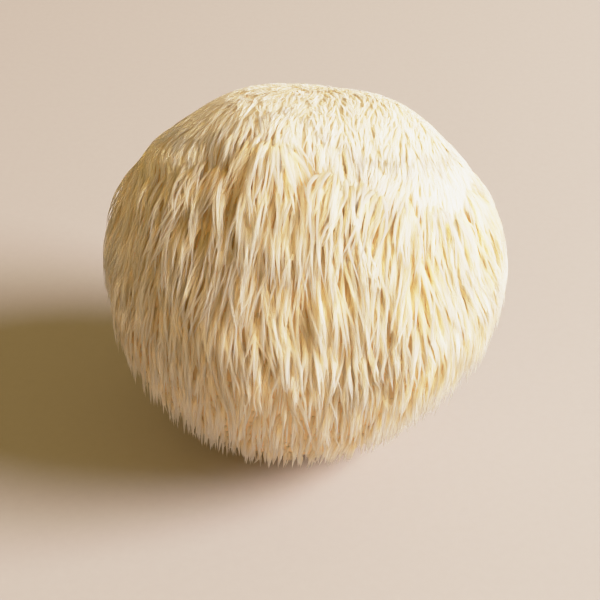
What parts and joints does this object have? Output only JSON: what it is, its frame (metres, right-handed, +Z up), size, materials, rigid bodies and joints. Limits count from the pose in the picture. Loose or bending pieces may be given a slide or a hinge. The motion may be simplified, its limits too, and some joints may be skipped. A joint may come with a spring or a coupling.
{
  "type": "lion's mane mushroom",
  "caption": "Picked lion's mane mushroom: a pale globe of flesh with soft hanging spines all over it, cut flat underneath, where it rests.",
  "frame": {"origin": "middle of the flat cut on the underside, on which the mushroom rests", "axes": "+Z up out of the crown, -Y towards the side with the long combed spines, +X to that side's right"},
  "size_m": [0.11, 0.1075, 0.1],
  "materials": {
    "soft_flesh": "matte, soft and slightly moist flesh: ivory spines over ochre depths"
  },
  "bodies": {
    "root": {"lions_mane_mushroom": "soft_flesh"}
  },
  "joints": []
}
